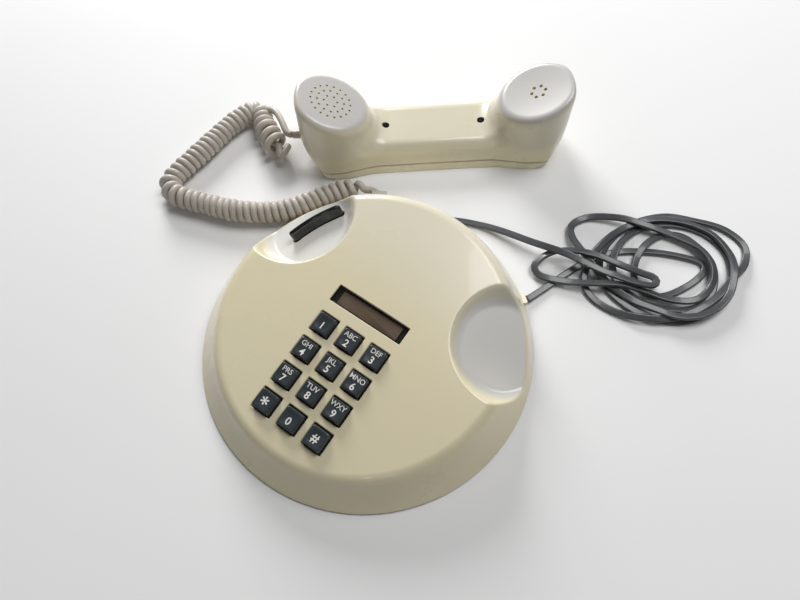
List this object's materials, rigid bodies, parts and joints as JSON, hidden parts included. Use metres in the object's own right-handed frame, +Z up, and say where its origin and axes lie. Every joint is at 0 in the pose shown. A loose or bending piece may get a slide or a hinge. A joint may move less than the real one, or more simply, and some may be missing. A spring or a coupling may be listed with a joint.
{
  "type": "push-button desk telephone",
  "caption": "Low round desk telephone with a sloping push-button face, two cradle bays, sprung hook bar, loose handset on a coiled cord and a flat line cord.",
  "frame": {"origin": "on the table, under the middle of the box that holds the base and the handset, cords left out", "axes": "+Y towards the rear of the base, where the handset lies, +X to the right of someone who dials, +Z up"},
  "size_m": [0.3959, 0.3524, 0.0575],
  "materials": {
    "ivory_housing": "glossy moulded plastic, yellowed",
    "ivory_handset": "glossy moulded plastic, yellowed on the sides",
    "key_slate": "satin",
    "black_gloss": "glossy",
    "black_rubber": "matt",
    "dark_plate": "matt",
    "steel": "plated",
    "brass": "dull",
    "copper_winding": "varnished winding",
    "circuit_board": "matt",
    "card": "matt",
    "clear_lens": "clear",
    "beige_cord": "satin vinyl",
    "grey_cord": "satin vinyl"
  },
  "bodies": {
    "base": {"upper_shell": "ivory_housing", "base_plate": "dark_plate", "foot_rear_right": "black_rubber", "foot_rear_left": "black_rubber", "foot_front_left": "black_rubber", "foot_front_right": "black_rubber", "base_screw_1": "steel", "base_screw_2": "steel", "base_screw_3": "steel", "keypad_frame": "black_gloss", "keypad_board": "circuit_board", "card_tray": "black_gloss", "name_card": "card", "window_lens": "clear_lens", "hook_pivot_pin": "steel", "hook_spring": "steel", "hook_bracket": "steel", "hook_switch": "circuit_board", "ringer_gong": "brass", "gong_post": "steel", "gong_screw": "steel", "ringer_coil": "copper_winding", "clapper_pin": "steel", "network_board": "circuit_board", "induction_coil": "copper_winding", "capacitor": "brass", "terminal_block": "circuit_board", "line_cord_gland": "ivory_housing", "handset_cord_gland": "beige_cord", "handset_cord": "beige_cord", "handset_cord_base_tail": "beige_cord", "handset_cord_end_tail": "beige_cord", "line_cord": "grey_cord", "line_cord_coil": "grey_cord", "line_cord_free_end": "grey_cord", "line_plug": "clear_lens"},
    "key_1": {"key_1": "key_slate"},
    "key_2": {"key_2": "key_slate"},
    "key_3": {"key_3": "key_slate"},
    "key_4": {"key_4": "key_slate"},
    "key_5": {"key_5": "key_slate"},
    "key_6": {"key_6": "key_slate"},
    "key_7": {"key_7": "key_slate"},
    "key_8": {"key_8": "key_slate"},
    "key_9": {"key_9": "key_slate"},
    "key_star": {"key_star": "key_slate"},
    "key_0": {"key_0": "key_slate"},
    "key_hash": {"key_hash": "key_slate"},
    "hook_bar": {"hook_bar": "black_gloss"},
    "hook_lever": {"hook_lever": "black_gloss"},
    "bell_clapper": {"bell_clapper": "steel"},
    "handset": {"handset_front_shell": "ivory_handset", "handset_back_shell": "ivory_handset", "handset_screw_mouth": "black_gloss", "handset_screw_ear": "black_gloss", "transmitter_capsule": "steel", "receiver_capsule": "steel", "handset_end_gland": "beige_cord"}
  },
  "joints": [
    {"name": "key_1_press", "type": "slide", "parent": "base", "child": "key_1", "axis": [0, 0.1132, -0.9936], "range_m": [0, 0.003], "stiffness_N_per_m": 150, "springref_m": -0.002},
    {"name": "key_2_press", "type": "slide", "parent": "base", "child": "key_2", "axis": [0, 0.1132, -0.9936], "range_m": [0, 0.003], "stiffness_N_per_m": 150, "springref_m": -0.002},
    {"name": "key_3_press", "type": "slide", "parent": "base", "child": "key_3", "axis": [0, 0.1132, -0.9936], "range_m": [0, 0.003], "stiffness_N_per_m": 150, "springref_m": -0.002},
    {"name": "key_4_press", "type": "slide", "parent": "base", "child": "key_4", "axis": [0, 0.1132, -0.9936], "range_m": [0, 0.003], "stiffness_N_per_m": 150, "springref_m": -0.002},
    {"name": "key_5_press", "type": "slide", "parent": "base", "child": "key_5", "axis": [0, 0.1132, -0.9936], "range_m": [0, 0.003], "stiffness_N_per_m": 150, "springref_m": -0.002},
    {"name": "key_6_press", "type": "slide", "parent": "base", "child": "key_6", "axis": [0, 0.1132, -0.9936], "range_m": [0, 0.003], "stiffness_N_per_m": 150, "springref_m": -0.002},
    {"name": "key_7_press", "type": "slide", "parent": "base", "child": "key_7", "axis": [0, 0.1132, -0.9936], "range_m": [0, 0.003], "stiffness_N_per_m": 150, "springref_m": -0.002},
    {"name": "key_8_press", "type": "slide", "parent": "base", "child": "key_8", "axis": [0, 0.1132, -0.9936], "range_m": [0, 0.003], "stiffness_N_per_m": 150, "springref_m": -0.002},
    {"name": "key_9_press", "type": "slide", "parent": "base", "child": "key_9", "axis": [0, 0.1132, -0.9936], "range_m": [0, 0.003], "stiffness_N_per_m": 150, "springref_m": -0.002},
    {"name": "key_star_press", "type": "slide", "parent": "base", "child": "key_star", "axis": [0, 0.1132, -0.9936], "range_m": [0, 0.003], "stiffness_N_per_m": 150, "springref_m": -0.002},
    {"name": "key_0_press", "type": "slide", "parent": "base", "child": "key_0", "axis": [0, 0.1132, -0.9936], "range_m": [0, 0.003], "stiffness_N_per_m": 150, "springref_m": -0.002},
    {"name": "key_hash_press", "type": "slide", "parent": "base", "child": "key_hash", "axis": [0, 0.1132, -0.9936], "range_m": [0, 0.003], "stiffness_N_per_m": 150, "springref_m": -0.002},
    {"name": "hook_bar_press", "type": "slide", "parent": "base", "child": "hook_bar", "axis": [0.2924, 0.1083, -0.9502], "range_m": [0, 0.004], "stiffness_N_per_m": 200, "springref_m": -0.003},
    {"name": "hook_lever_turn", "type": "hinge", "parent": "base", "child": "hook_lever", "pos_m": [-0.02689, -0.01549, 0.014], "axis": [-0.2571, -0.9664, 0], "range_deg": [0, 9.3]},
    {"name": "clapper_swing", "type": "hinge", "parent": "base", "child": "bell_clapper", "pos_m": [-0.00689, -0.03749, 0.014], "axis": [0, 0, 1], "range_deg": [-6.5, 3], "stiffness_Nm_per_rad": 0.01},
    {"name": "handset_lift", "type": "slide", "parent": "base", "child": "handset", "axis": [0, 0, 1], "range_m": [0, 0.12]}
  ],
  "couplings": [
    {"joint": "hook_lever_turn", "follows": "hook_bar_press", "rad_per_m": 40}
  ]
}
